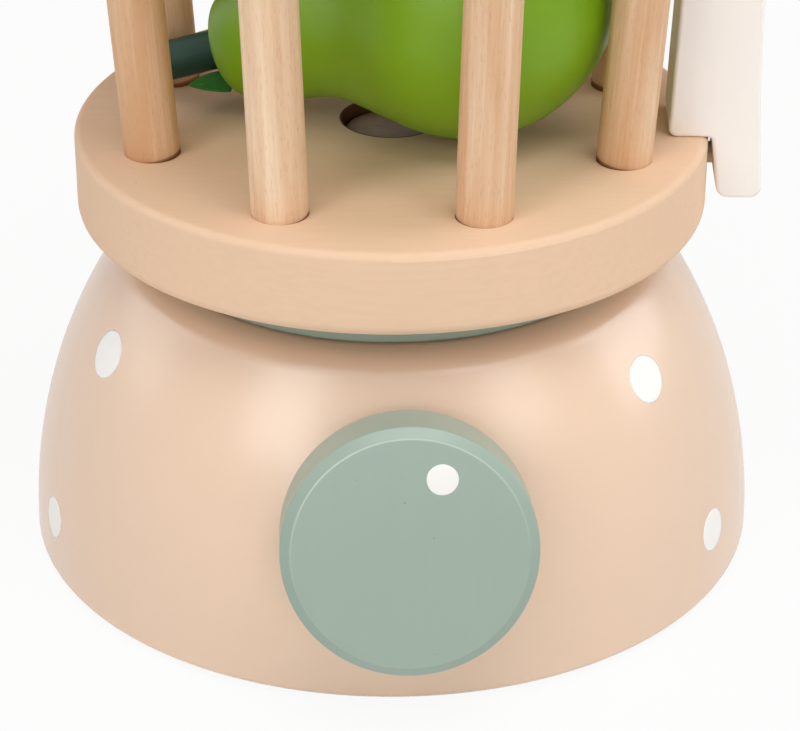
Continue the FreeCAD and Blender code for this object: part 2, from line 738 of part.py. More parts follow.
def main():
    os.makedirs("parts", exist_ok=True)
    save("base_felt", cylinder(felt_radius, felt_thickness, Vector(0, 0, 0)))
    save("base_plate", make_base_plate())
    save("base_plate_screws", *[countersunk_screw(place) for place in plate_screw_places()])
    save("base_dome", make_base_dome())
    save("knob_washer", make_knob_washer())
    save("click_spring", make_click_spring())
    save("click_spring_screw", make_spring_screw())
    save("knob", make_knob())
    save("knob_shaft", make_shaft())
    save("click_wheel", make_click_wheel())
    save("knob_shaft_screw", make_shaft_screw())
    save("turntable", make_turntable())
    save("turntable_peg", make_peg())
    save("turntable_washer", make_peg_washer())
    save("turntable_screw", make_peg_screw())
    save("jug_floor", make_jug_floor())
    for index in range(dowel_count):
        save("cage_dowel_%d" % (index + 1), make_dowel(index))
    save("jug_rim", make_rim())
    save("handle", make_handle())
    save("handle_pins",
         handle_pin(handle_pin_radius, jug_radius, low_pin_level),
         handle_pin(handle_pin_radius, rim_radius, high_pin_level))
    save("lid_disc", make_lid_disc())
    save("lid_plug", make_lid_plug())
    save("lid_knob", make_lid_knob())
    save("lid_screw", make_lid_screw())
    save("pear_body", make_pear_body())
    save("pear_stem", make_pear_stem())
    save("pear_leaf", make_pear_leaf())


main()
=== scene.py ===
# %% [markdown]
# # The toy blender's looks
#
# The toy is a play-kitchen blender in painted beech. A packed CAD model already
# holds every board, dowel and screw in its right place, in metres. This lesson
# dresses that frame: it gives each board its paint, turns the pieces that need
# a finer surface out of numpy grids, and sets up a small photo studio.
#
# The frame is loaded first.

# %% Load the frame
import math

import bpy
import numpy as np
from mathutils import Matrix


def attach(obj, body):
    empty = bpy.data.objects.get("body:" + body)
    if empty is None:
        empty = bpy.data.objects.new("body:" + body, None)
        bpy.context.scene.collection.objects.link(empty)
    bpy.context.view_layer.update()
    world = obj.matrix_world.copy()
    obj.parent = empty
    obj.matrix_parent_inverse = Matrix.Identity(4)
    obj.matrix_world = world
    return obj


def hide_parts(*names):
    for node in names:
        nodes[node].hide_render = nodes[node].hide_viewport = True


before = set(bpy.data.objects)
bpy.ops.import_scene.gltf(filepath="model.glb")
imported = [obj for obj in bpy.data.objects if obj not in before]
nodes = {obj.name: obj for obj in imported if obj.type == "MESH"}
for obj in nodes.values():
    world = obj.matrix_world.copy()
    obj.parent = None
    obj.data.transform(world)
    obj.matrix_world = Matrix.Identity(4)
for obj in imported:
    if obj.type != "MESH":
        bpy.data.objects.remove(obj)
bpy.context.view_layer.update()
MM = 0.001

# %% [markdown]
# ## Camera
#
# A product shot of a small toy is taken from a little above with a long lens,
# so that its circles stay calm ellipses. A camera could be aimed with a
# constraint, but a constraint hides the numbers, so its three axes are worked
# out here from a heading, a pitch and a roll, and written into its matrix.

# %% Place the camera
CAMERA_PLACE = (0.01833, -0.47700, 0.28712)
CAMERA_HEADING = math.radians(-2.006)    # clockwise from +Y, seen from above
CAMERA_PITCH = math.radians(28.248)      # downwards
CAMERA_ROLL = math.radians(0.0514)
LENS, SENSOR_WIDTH = 126.15, 36.0        # mm
NEAREST = 0.01                           # metres, nothing nearer is drawn


def put_in_scene(name, data):
    """An object that holds this data, linked to the scene."""
    thing = bpy.data.objects.new(name, data)
    bpy.context.scene.collection.objects.link(thing)
    return thing


def axes_matrix(right, up, back, place):
    """The matrix whose four columns are three axes and a place."""
    matrix = np.eye(4)
    matrix[:3, :] = np.column_stack([right, up, back, place])
    return Matrix(matrix.tolist())


def camera_matrix(place, heading, pitch, roll):
    """Columns right, up and backwards: forward is (sin h cos p, cos h cos p,
    -sin p), right is level, and both side axes then turn by the roll."""
    forward = np.array([math.sin(heading) * math.cos(pitch),
                        math.cos(heading) * math.cos(pitch), -math.sin(pitch)])
    right = np.array([math.cos(heading), -math.sin(heading), 0.0])
    up = np.cross(right, forward)
    rolled_right = math.cos(roll) * right + math.sin(roll) * up
    rolled_up = math.cos(roll) * up - math.sin(roll) * right
    return axes_matrix(rolled_right, rolled_up, -forward, place)


camera_data = bpy.data.cameras.new("camera")
camera_data.lens = LENS
camera_data.sensor_width = SENSOR_WIDTH
camera_data.sensor_fit = "HORIZONTAL"
camera_data.clip_start = NEAREST
camera = put_in_scene("camera", camera_data)
camera.matrix_world = camera_matrix(CAMERA_PLACE, CAMERA_HEADING, CAMERA_PITCH, CAMERA_ROLL)
bpy.context.scene.camera = camera
print("camera pitch %.2f degrees, lens %.1f mm" % (math.degrees(CAMERA_PITCH), LENS))

# %% [markdown]
# ## Shader maths as Python
#
# A finish is a small graph of nodes. Wiring dozens of them by hand is slow to
# write and to read, so one class wraps a node's output and lets plain Python
# operators add Math nodes, and a second class makes every other node from its
# type, its settings and its sockets.

# %% Wires
class Wire:
    """One output of a node. A sum, difference or product in which a wire takes
    part adds a Math node, whichever side the wire is on."""

    def __init__(self, finish, socket):
        self.finish = finish
        self.socket = socket

    def maths(self, operation, first, second):
        return self.finish.node("Math", {"operation": operation}, {0: first, 1: second})

    def __add__(self, other):
        return self.maths("ADD", self, other)

    def __sub__(self, other):
        return self.maths("SUBTRACT", self, other)

    def __rsub__(self, other):
        return self.maths("SUBTRACT", other, self)

    def __mul__(self, other):
        return self.maths("MULTIPLY", self, other)

    __radd__ = __add__
    __rmul__ = __mul__


print("a wire knows + - and *, with a wire or a number on either side")

# %% [markdown]
# A finish keeps one graph. Its methods say what a maker would say of wood or
# paint: which way the fibres run, how big the blotches are, how deep the
# relief. Blender's own node groups could hold such steps, but a reader would
# have to open each to see what it does.

# %% Finishes
class Finish:
    """A material, or a world, whose output is fed by wires."""

    def __init__(self, name, block=None):
        self.material = block or bpy.data.materials.new(name)
        self.material.use_nodes = True
        self.tree = self.material.node_tree
        self.tree.nodes.clear()

    def node(self, kind, settings=None, sockets=None, out=0):
        """Any node: its settings are set first, then its sockets' values or
        links. out is the name or number of the output that is handed back."""
        made = self.tree.nodes.new("ShaderNode" + kind)
        for key, value in (settings or {}).items():
            setattr(made, key, value)
        for key, value in (sockets or {}).items():
            if isinstance(value, Wire):
                self.tree.links.new(value.socket, made.inputs[key])
            else:
                made.inputs[key].default_value = value
        return Wire(self, made.outputs[out] if made.outputs else None)

    def place(self):
        """The object's own coordinates, in metres."""
        return self.node("TexCoord", out="Object")

    def mark(self, name):
        """A number that each point of a piece made here carries."""
        return self.node("Attribute", {"attribute_name": name}, out="Fac")

    def fibres(self, turn):
        """Coordinates whose Z runs along the wood's fibres: the place turned,
        or where turn is CARRIED the ones that a piece made here brings along."""
        if turn is CARRIED:
            return self.node("Attribute", {"attribute_name": "stick"}, out="Vector")
        return self.node("Mapping", {}, {"Vector": self.place(), "Rotation": turn})

    def axis_distance(self):
        """How far a point lies from the upright axis: the length of (x, y, 0)."""
        level = self.node("VectorMath", {"operation": "MULTIPLY"}, {0: self.place(), 1: (1.0, 1.0, 0.0)})
        return self.node("VectorMath", {"operation": "LENGTH"}, {0: level}, out="Value")

    def noise(self, space, sizes, detail=2.0, warp=0.0):
        """Soft noise whose blotches have these sizes in mm along X, Y and Z."""
        scaled = self.node("Mapping", {}, {"Vector": space, "Scale": [1 / (MM * s) for s in sizes]})
        sockets = {"Vector": scaled, "Scale": 1.0, "Detail": detail, "Distortion": warp}
        return self.node("TexNoise", {}, sockets)

    def blobs(self, space, size):
        """Points scattered one to a cell of this size in mm: the distance to
        the nearest, in cells, and a random number that belongs to it."""
        cells = self.node("TexVoronoi", {}, {"Vector": space, "Scale": 1 / (MM * size)})
        return cells, Wire(self, cells.socket.node.outputs["Color"])

    def between(self, value, low, high):
        """0 at low, 1 at high, straight between and held outside."""
        return self.node("MapRange", {}, {"Value": value, "From Min": low, "From Max": high})

    def mix(self, share, first, second):
        """A colour on the way from the first to the second. A Mix node has
        its colours at sockets 6 and 7 and their mixture at output 2."""
        settings = {"data_type": "RGBA", "blend_type": "MIX"}
        return self.node("Mix", settings, {0: share, 6: first, 7: second}, out=2)

    def bump(self, height, depth):
        """A normal tilted as if the height wire stood out by depth in mm."""
        return self.node("Bump", {}, {"Height": height, "Strength": 1.0, "Distance": depth * MM})

    def close(self, **sockets):
        """Joins a Principled BSDF to the output. Socket names have _ for a space."""
        named = {key.replace("_", " "): value for key, value in sockets.items()}
        shader = self.node("BsdfPrincipled", {}, named)
        self.node("OutputMaterial", {}, {"Surface": shader})
        return self.material


CARRIED = None                               # fibres as the piece's own stick coordinates say
LYING = (0.0, math.radians(90.0), 0.0)       # fibres along X
STANDING = (0.0, 0.0, 0.0)                   # fibres along Z
print("a finish can make:", [name for name in vars(Finish) if not name.startswith("_")])

# %% [markdown]
# ## Colours
#
# A paint card gives a colour as the eye sees it on a screen, from 0 to 255, but
# a shader adds up light. Typing converted numbers by hand would hide what the
# colour is, so each colour is written as on its card and converted here.

# %% Paint cards
def paint_colour(red, green, blue):
    """A card's colour in linear light: c / 12.92 in the darkest part, and
    ((c + 0.055) / 1.055)^2.4 above it, for c from 0 to 1."""
    card = np.array([red, green, blue]) / 255.0
    linear = np.where(card <= 0.04045, card / 12.92, ((card + 0.055) / 1.055) ** 2.4)
    return (*linear.tolist(), 1.0)


def shaded(colour, factor):
    """The colour times a factor, held at 1."""
    return tuple(min(1.0, c * factor) for c in colour[:3]) + (1.0,)


print("a paint card's 128 grey is %.3f in linear light" % paint_colour(128, 128, 128)[0])

# %% [markdown]
# ## Painted beech
#
# Play-food paint is a water-based colour sprayed over sanded beech: satin,
# almost even, with the wood's long pores just showing as a ghost where light
# grazes. One recipe serves every colour. The colour drifts a little over
# centimetres, the pores are thin noise stretched along the fibres that darkens
# and dents the paint, and a very fine noise stands for the spray itself. A
# picture of paint would have to be unwrapped on to each board, while noise in
# the board's own coordinates runs on round its edges as grain does.

# %% The paint recipe
# Blotch sizes in mm: twice across the fibres, then along them.
DRIFT, BANDS = (38, 38, 60), (5, 5, 90)
PAINTED_PORES, SPRAY = (0.9, 0.9, 16), (0.5, 0.5, 0.5)
PAINT_RELIEF = 0.012                         # mm
DUST_SPACING = 5.5                           # mm, at specks = 1
DUST_CORE, DUST_EDGE = 0.03, 0.05            # of a cell, at specks = 1
BORE_BLUR = 0.3                              # mm
DUST = paint_colour(96, 84, 70)
# Painted shade: the dark brown inside the jug floor's hole, where little light reaches.
SHADED_BORE_BROWN = paint_colour(104, 72, 46)


def painted_beech(name, colour, turn, rough, shine, ghost=0.04, grit=0.3, specks=0.0, bore=None,
                  glint_colour=None):
    """Paint with drift, pores, spray and dust specks. Inside the radius bore,
    in mm round the piece's axis, the colour goes to a dark brown: painted shade in a deep hole.
    Where the piece's mark says so, the colour goes towards a painted highlight."""
    finish = Finish(name)
    space = finish.fibres(turn)
    drift = finish.noise(space, DRIFT)
    pores = finish.between(finish.noise(space, PAINTED_PORES, detail=3.0, warp=0.3), 0.42, 0.72)
    bands = finish.noise(space, BANDS)
    spray = finish.noise(space, SPRAY)
    tone = finish.mix(drift * 0.5 + bands * 0.5, shaded(colour, 1.05), colour)
    tone = finish.mix(pores * ghost * 4.0, tone, shaded(colour, 0.86))
    if specks:
        near, fate = finish.blobs(space, DUST_SPACING / specks)
        spot = 1.0 - finish.between(near, DUST_CORE * specks, DUST_EDGE * specks)
        tone = finish.mix(spot * finish.between(fate, 0.2, 1.0) * 0.7, tone, DUST)
    # Painted shade: the wall of a deep hole is darkened, as little light reaches into it.
    if bore:
        inside = 1.0 - finish.between(finish.axis_distance(), bore * MM, (bore + BORE_BLUR) * MM)
        tone = finish.mix(inside, tone, SHADED_BORE_BROWN)
    # Painted highlight: paler where light glints along an edge.
    if glint_colour:
        tone = finish.mix(finish.mark("glint"), tone, glint_colour)
    dullness = rough + drift * 0.06 + pores * ghost
    relief = finish.bump(spray * grit - pores * ghost * 8.0 + drift * 0.4, PAINT_RELIEF)
    return finish.close(Base_Color=tone, Roughness=dullness, Normal=relief,
                        Specular_IOR_Level=shine)


# %% [markdown]
# Each board gets its own mixture. The dome is the glossiest, the flat boards
# are duller, and the dots' thick paint hides the wood. Inside the jug floor's
# hole the colour is darkened, painted shade for that deep recess.

# %% Mix the paints
PEACH, DOME_PEACH = paint_colour(235, 202, 172), paint_colour(230, 200, 174)
# The pale sage is a painted highlight for the lit upper edge of the knob's bevel.
SAGE, GLINT_SAGE = paint_colour(150, 168, 156), paint_colour(214, 226, 214)
MILK = paint_colour(252, 246, 241)
# One white paint in two tones: lighter on the base dots, darker on the knob's dot, painted light and shade
# to suit how each is lit.
BASE_DOT_LIT_WHITE, KNOB_DOT_SHADED_WHITE = paint_colour(247, 246, 243), paint_colour(240, 239, 235)
BORE_WALL = 9.45                             # mm, just outside the jug floor's hole

peach_board = painted_beech("peach_paint_boards", PEACH, LYING, rough=0.45, shine=0.16, specks=0.4)
peach_floor = painted_beech("peach_paint_floor", PEACH, LYING, rough=0.5, shine=0.03, specks=0.4,
                            bore=BORE_WALL)
peach_dome = painted_beech("peach_paint_dome", DOME_PEACH, LYING, rough=0.22, shine=0.8, ghost=0.01,
                           grit=0.02, specks=0.4)
sage_knob = painted_beech("sage_paint_knob", SAGE, CARRIED, rough=0.27, shine=0.4, ghost=0.02,
                          grit=0.1, specks=0.9, glint_colour=GLINT_SAGE)
sage_board = painted_beech("sage_paint_boards", SAGE, LYING, rough=0.42, shine=0.3)
milk_handle = painted_beech("white_paint_handle", MILK, STANDING, rough=0.45, shine=0.3, ghost=0.02,
                            grit=0.2, specks=0.5)
milk_dot = painted_beech("white_paint_dots", BASE_DOT_LIT_WHITE, CARRIED, rough=0.4, shine=0.4, ghost=0.01,
                         grit=0.1)
knob_milk = painted_beech("white_paint_knob_dot", KNOB_DOT_SHADED_WHITE, CARRIED, rough=0.4, shine=0.4,
                          ghost=0.01, grit=0.1)
pear_green = painted_beech("pear_paint", paint_colour(123, 168, 21), CARRIED, rough=0.34, shine=0.35,
                           ghost=0.02)
stem_green = painted_beech("stem_paint", paint_colour(28, 62, 49), CARRIED, rough=0.45, shine=0.3)
print("paints:", [m.name for m in bpy.data.materials if "paint" in m.name])

# %% [markdown]
# ## Bare beech
#
# The cage is left as bare beech. It is pale and a little pink, with quiet
# zones where the growth rings run out at a slant, hair-fine streaks, and short
# brown flecks, the rays, that all run along the stick. The wood is worked out
# as a solid in the stick's own coordinates, so the grain runs true along each
# leaning dowel, and a different start point per dowel gives each its own piece
# of tree.

# %% The bare wood recipe
PALE_BEECH, TAN_BEECH = paint_colour(247, 219, 187), paint_colour(216, 170, 128)
# The peg's darker beech is painted shade: it stands deep in the jug floor's hole.
SHADED_PALE_PEG, SHADED_TAN_PEG = paint_colour(172, 144, 112), paint_colour(146, 118, 90)
# The seam brown is the dark glue joint round a dowel, with painted shade where it meets a board.
RAY_BROWN, SEAM_AND_SHADE_BROWN = paint_colour(190, 132, 82), paint_colour(128, 78, 38)
ZONES, STREAKS = (5.0, 5.0, 90), (1.1, 1.1, 45)
HAIRS, FLECKS = (0.3, 0.3, 12), (0.24, 0.24, 2.0)
WOOD_RELIEF = 0.02                           # mm


def bare_beech(name, turn, pale=PALE_BEECH, tan=TAN_BEECH):
    """Slanting zones and hair-fine streaks between two tones, plus flecks.
    A stick's own tone shifts it towards the tan, or below 0 towards the pale, and
    its foot, 0 to 1, towards a brown: the glue in its seam, and painted shade just above it."""
    finish = Finish(name)
    space = finish.fibres(turn)
    tone_shift = finish.mark("tone")
    foot = finish.mark("foot")
    zones = finish.between(finish.noise(space, ZONES, detail=1.0, warp=0.4), 0.42, 0.58)
    streaks = finish.noise(space, STREAKS, detail=3.0, warp=0.3)
    hairs = finish.between(finish.noise(space, HAIRS), 0.3, 0.7)
    flecks = finish.between(finish.noise(space, FLECKS), 0.56, 0.7)
    share = zones * 0.34 + finish.between(streaks, 0.3, 0.7) * 0.32 + hairs * 0.16 + tone_shift * 0.5
    tone = finish.mix(finish.between(share, 0.0, 1.0), pale, tan)
    tone = finish.mix(flecks * 0.26, tone, RAY_BROWN)
    # Glue and painted shade: brown where the stick enters a board.
    tone = finish.mix(foot, tone, SEAM_AND_SHADE_BROWN)
    dullness = 0.5 + share * 0.08 + flecks * 0.05 + foot * 0.4
    relief = finish.bump(streaks * 0.4 + hairs * 0.3 - flecks * 0.3, WOOD_RELIEF)
    return finish.close(Base_Color=tone, Roughness=dullness, Normal=relief,
                        Specular_IOR_Level=0.4)


beech_own = bare_beech("bare_beech_stick", CARRIED)
beech_lying = bare_beech("bare_beech_lying", LYING)
shaded_beech_peg = bare_beech("bare_beech_peg_shaded", STANDING, SHADED_PALE_PEG, SHADED_TAN_PEG)
print("woods:", [m.name for m in bpy.data.materials if "beech" in m.name])

# %% [markdown]
# ## Felt
#
# Felt is wool pressed until it mats: no weave, just tangled fibres, so it is
# the dullest surface on the toy. Modelled fibres would need a great many faces.
# Two noises with bent, stretched blotches in different directions read as
# fibres instead, and a little sheen gives the fuzz.

# %% The felt recipe
TANGLE, CROSS, CLUMPS = (0.25, 0.8, 0.8), (0.9, 0.3, 0.3), (4, 4, 4)
FELT_BEND = 2.0
FELT_RELIEF = 0.12                           # mm


def pressed_felt(name, colour, turn):
    """Tangled fibres as two crossed noises, dull and slightly fuzzy."""
    finish = Finish(name)
    space = finish.fibres(turn)
    tangle = finish.noise(space, TANGLE, detail=3.0, warp=FELT_BEND)
    cross = finish.noise(space, CROSS, detail=3.0, warp=FELT_BEND)
    clumps = finish.noise(space, CLUMPS)
    share = finish.between(tangle * 0.4 + cross * 0.3 + clumps * 0.3, 0.35, 0.65)
    tone = finish.mix(share, shaded(colour, 0.66), shaded(colour, 1.25))
    relief = finish.bump(tangle + cross, FELT_RELIEF)
    return finish.close(Base_Color=tone, Roughness=0.9 + share * 0.08, Normal=relief,
                        Sheen_Weight=0.25, Specular_IOR_Level=0.2)


leaf_felt = pressed_felt("green_felt_leaf", paint_colour(58, 138, 56), CARRIED)
grey_felt = pressed_felt("grey_felt", paint_colour(150, 146, 140), STANDING)
green_washer = pressed_felt("green_felt_washer", paint_colour(60, 92, 70), STANDING)
print("felts:", [m.name for m in bpy.data.materials if "felt" in m.name])

# %% [markdown]
# ## Metal and plywood
#
# The screws are bright zinc with the cloudy spangle of plating, and the click
# spring is drawn steel wire with fine lines along it. The bottom is beech
# plywood, whose edges show its plies as pale and dark stripes. A stack of thin
# boards would show the same stripes for far more faces.

# %% The metal and plywood recipes
ZINC, STEEL = (0.72, 0.74, 0.76, 1.0), (0.56, 0.55, 0.53, 1.0)    # in linear light
SPANGLE, DRAWN_LINES = (0.8, 0.8, 0.8), (0.3, 3.0, 0.3)
METAL_RELIEF = 0.01                          # mm
PLY = 1.25                                   # mm
PLY_STREAKS, PLY_BROAD = (1.2, 1.2, 40), (9, 9, 150)
PLY_RELIEF = 0.03                            # mm
PALE_PLY, TAN_PLY = paint_colour(232, 200, 160), paint_colour(206, 164, 120)
PLY_STRIPE = paint_colour(170, 126, 84)


def plated(name, colour, rough, sizes):
    """Metal with cloudy blotches of these sizes in mm."""
    finish = Finish(name)
    cloud = finish.noise(finish.fibres(STANDING), sizes, detail=3.0, warp=0.6)
    tone = finish.mix(cloud, colour, shaded(colour, 0.7))
    relief = finish.bump(cloud, METAL_RELIEF)
    return finish.close(Base_Color=tone, Metallic=1.0, Roughness=rough + cloud * 0.15, Normal=relief)


def beech_ply(name):
    """Face grain along X, and stripes down the edge: the height goes up and
    down between 0 and a ply's thickness, and its upper half is the stripe."""
    finish = Finish(name)
    space = finish.fibres(LYING)
    height = finish.node("SeparateXYZ", {}, {"Vector": finish.place()}, out="Z")
    layer = finish.node("Math", {"operation": "PINGPONG"}, {0: height, 1: PLY * MM}) * (1 / (PLY * MM))
    stripe = finish.between(layer, 0.45, 0.55)
    streak = finish.noise(space, PLY_STREAKS, detail=3.0, warp=0.4)
    broad = finish.noise(space, PLY_BROAD)
    face = finish.mix(streak * 0.6 + broad * 0.4, PALE_PLY, TAN_PLY)
    tone = finish.mix(stripe * 0.35, face, PLY_STRIPE)
    relief = finish.bump(streak, PLY_RELIEF)
    return finish.close(Base_Color=tone, Roughness=0.6 + streak * 0.1, Normal=relief)


zinc = plated("zinc_plate", ZINC, rough=0.28, sizes=SPANGLE)
spring_wire = plated("drawn_steel", STEEL, rough=0.3, sizes=DRAWN_LINES)
ply = beech_ply("beech_plywood")
print("materials so far:", len(bpy.data.materials))

# %% [markdown]
# ## Dressing the boards that stay
#
# The dome, the boards, the handle, the lid and the small ironwork already have
# their true shape in the frame. Finer copies could stand in for them, but
# nothing would show it, so their meshes stay untouched and only their material
# slot changes.

# %% Paint the frame's own pieces
DRESS = {
    "base_dome": peach_dome, "jug_floor": peach_floor, "jug_rim": peach_board,
    "turntable": sage_board, "lid_disc": sage_board, "handle": milk_handle,
    "lid_knob": milk_handle, "lid_plug": beech_lying, "turntable_peg": shaded_beech_peg,
    "knob_shaft": beech_lying, "click_wheel": beech_lying, "handle_pins": beech_lying,
    "base_plate": ply, "base_felt": grey_felt, "knob_washer": green_washer,
    "click_spring": spring_wire, "click_spring_screw": zinc, "base_plate_screws": zinc,
    "knob_shaft_screw": zinc, "turntable_washer": zinc, "turntable_screw": zinc, "lid_screw": zinc,
}
for name, finish in DRESS.items():
    nodes[name].material_slots[0].material = finish
print("dressed:", len(DRESS), "frame pieces")

# %% [markdown]
# ## Surfaces from grids
#
# A turned piece is a profile carried round an axis; a dowel, a leaf or a dot
# is also a function of two parameters. Spin or a screw modifier could make
# some of them, but a plain grid of points keeps the formula in sight. One
# helper turns any grid into a closed mesh: it joins the edges that meet, shuts
# the poles to one point, and faces everything outwards.

# %% Grid to mesh
POLE = 1e-9                                  # metres: a row no wider than this is one point


def grid_faces(grid):
    """Four point numbers to a face, with each row joined to the next and each
    column to its neighbour, the last one to the first. The sign of the volume,
    the sum of (a x b) . c over the triangles, tells which way they face."""
    rows, columns = grid.shape[:2]
    number = np.arange(rows * columns).reshape(rows, columns)
    pole = np.ptp(grid, axis=1).max(axis=1) < POLE
    number[pole] = number[pole][:, :1]
    down = np.roll(number, -1, axis=0)
    right = np.roll(number, -1, axis=1)
    both = np.roll(down, -1, axis=1)
    quads = np.stack([number, right, both, down], axis=-1)[:-1].reshape(-1, 4)
    a, b, c, d = (grid.reshape(-1, 3)[quads[:, k]] for k in range(4))
    volume = np.einsum("ij,ij->i", np.cross(a, b), c) + np.einsum("ij,ij->i", np.cross(a, c), d)
    return quads[:, ::-1] if volume.sum() < 0 else quads


def surface(name, grid, stick, marks=None):
    """Mesh from a grid of points, rows by columns by 3, in metres. A face at a
    pole repeats a point and loses it. stick holds the fibre coordinates, and
    marks names further values, one to a point, that a finish can read."""
    used, place = np.unique(grid_faces(grid), return_inverse=True)
    quads = place.reshape(-1, 4)
    follows = quads != np.roll(quads, 1, axis=1)
    whole = follows.all(axis=1)
    faces = quads[whole].tolist() + quads[~whole][follows[~whole]].reshape(-1, 3).tolist()
    mesh = bpy.data.meshes.new(name)
    mesh.from_pydata(grid.reshape(-1, 3)[used].tolist(), [], faces)
    mesh.polygons.foreach_set("use_smooth", np.ones(len(faces), dtype=bool))
    layer = mesh.attributes.new("stick", "FLOAT_VECTOR", "POINT")
    layer.data.foreach_set("vector", stick.reshape(-1, 3)[used].astype(np.float32).ravel())
    for mark, values in (marks or {}).items():
        layer = mesh.attributes.new(mark, "FLOAT", "POINT")
        layer.data.foreach_set("value", values.reshape(-1)[used].astype(np.float32))
    mesh.update()
    print("%-16s %6d faces" % (name, len(faces)))
    return put_in_scene(name, mesh)


# %% [markdown]
# A real turned edge is never sharp: sandpaper takes it off. A bevel modifier
# could do that, but it would also cut the seams and poles, so each corner of
# a profile is rounded before it is carried round its axis.

# %% Profiles carried round an axis
ARC_STEPS = 7
LEAST_ROUND = 0.02                           # mm, so that no corner is quite sharp
REST = 0.12                                  # mm, from an arc to the point that holds its shading


def rounded_profile(corners, rounds):
    """A broken line whose corners are rounded, in mm: each corner becomes an arc
    whose centre lies on the bisector, radius / cos(half the turn) away. A point
    a little before and after each arc keeps the shading of the straight runs flat."""
    corners = np.array(corners, dtype=float)
    run = [corners[:1]]
    for before, corner, after, radius in zip(corners, corners[1:], corners[2:], rounds):
        into = (corner - before) / np.linalg.norm(corner - before)
        out = (after - corner) / np.linalg.norm(after - corner)
        half = math.acos(np.clip(into @ out, -1, 1)) / 2
        radius = max(radius, LEAST_ROUND)
        cut = radius * math.tan(half)
        inward = (out - into) / np.linalg.norm(out - into)
        centre = corner + inward * radius / math.cos(half)
        sweep = np.linspace(-half, half, ARC_STEPS)[:, None]
        bisector = (into + out) / np.linalg.norm(into + out)
        bend = centre + radius * (np.sin(sweep) * bisector - np.cos(sweep) * inward)
        run += [corner - into * (cut + REST), bend, corner + out * (cut + REST)]
    run.append(corners[-1:])
    return np.vstack([np.atleast_2d(part) for part in run])


def ring(segments):
    """Angles once round, the last one step short of the first."""
    return np.linspace(0.0, 2 * np.pi, segments, endpoint=False)


def turned(profile, segments):
    """Local grid of a turned piece, in mm: (r cos a, r sin a, z) for every
    profile point (r, z) and every angle a."""
    angle = ring(segments)
    radius, level = profile[:, :1], profile[:, 1:]
    return np.stack([radius * np.cos(angle), radius * np.sin(angle),
                     level + 0 * angle], axis=-1)


def placed(local, origin, x_axis, y_axis, z_axis):
    """Local millimetres to the frame's metres: origin + x X + y Y + z Z."""
    axes = np.array([x_axis, y_axis, z_axis])
    return (np.asarray(origin) + local @ axes) * MM


def front_axes(turn):
    """Outwards and sideways, both level, this angle round from the front:
    (sin t, -cos t, 0) and (cos t, sin t, 0)."""
    return (np.array([math.sin(turn), -math.cos(turn), 0.0]),
            np.array([math.cos(turn), math.sin(turn), 0.0]))


print("a square corner rounded by 1 mm:", len(rounded_profile([(0, 0), (5, 0), (5, 5)], [1.0])), "points")

# %% [markdown]
# ## The knob
#
# The knob sits on the sloping front of the base, and its shaft leans back a
# little. An object could be turned and tilted into place, but every finished
# piece stays unturned at the origin, with its place in its mesh. So the knob's
# own axes are worked out first, and its grid is placed along them.

# %% Where the knob sits
BASE_RADIUS, BASE_EDGE = 69.4, 1.0           # mm: the side's lower edge and its height over the floor
BASE_CURVE = 84.9403                         # mm: the height at which the side's ellipse would close
KNOB_TURN, KNOB_TILT = math.radians(4.55), math.radians(14.2)
KNOB_HEIGHT = 31.6                           # mm up the side


def dome_radius(height):
    """Radius of the elliptical side, R sqrt(1 - (h / H)^2), h above its edge."""
    return BASE_RADIUS * np.sqrt(1 - (height / BASE_CURVE) ** 2)


def dome_fall(height):
    """How far the side leans inwards there: atan(R^2 h / (H^2 r))."""
    return np.arctan(BASE_RADIUS ** 2 * height / (BASE_CURVE ** 2 * dome_radius(height)))


knob_out, knob_side = front_axes(KNOB_TURN)
knob_axis = knob_out * math.cos(KNOB_TILT) + np.array([0, 0, math.sin(KNOB_TILT)])
knob_up = np.cross(knob_axis, knob_side)
knob_root = knob_out * dome_radius(KNOB_HEIGHT) + np.array([0, 0, BASE_EDGE + KNOB_HEIGHT])


def on_knob(local):
    """Millimetres sideways, up its face and out along its axis, to the frame."""
    return placed(local, knob_root, knob_side, knob_up, knob_axis)


print("knob's root in mm:", knob_root.round(2))

# %% [markdown]
# The knob is turned from one beech disc, bevelled at its face and painted
# sage. A bevel modifier could ease its corners; here the profile has the bevel
# and its soft edges in it, because the bright bevel is the first thing the eye
# finds. Along the upper half of the bevel's inner edge, where light from above
# glints, a painted highlight lies pale on the paint: a mark on each point, a
# bell curve exp(-(d / w)^2) of its distance d from that edge.

# %% Turn the knob
KNOB_RADIUS, KNOB_BACK, KNOB_FACE = 22.05, 0.3, 13.15    # mm; the last two along its axis
BEVEL_START, FACE_RADIUS = 11.75, 20.35                  # mm: from this level in to this radius
KNOB_BORE, KNOB_BORE_END = 4.05, 8.3                     # mm: the shaft's hole, radius and level
KNOB_ROUNDS = [0.0, 0.3, 0.7, 0.45, 0.55]                # mm, at the hole, the back and the bevel
GLINT_RADIUS, GLINT_LEVEL, GLINT_WIDTH = 20.24, 13.11, 0.13    # mm, on the bevel's inner edge
GLINT_SHARE, GLINT_HEADING = 0.65, 1.75                      # how pale at most, and where in radians

knob_profile = rounded_profile(
    [(0, KNOB_BORE_END), (KNOB_BORE, KNOB_BORE_END), (KNOB_BORE, KNOB_BACK), (KNOB_RADIUS, KNOB_BACK),
     (KNOB_RADIUS, BEVEL_START), (FACE_RADIUS, KNOB_FACE), (0, KNOB_FACE)], KNOB_ROUNDS)
knob_local = turned(knob_profile, segments=192)
knob_x, knob_y, knob_z = np.moveaxis(knob_local, -1, 0)
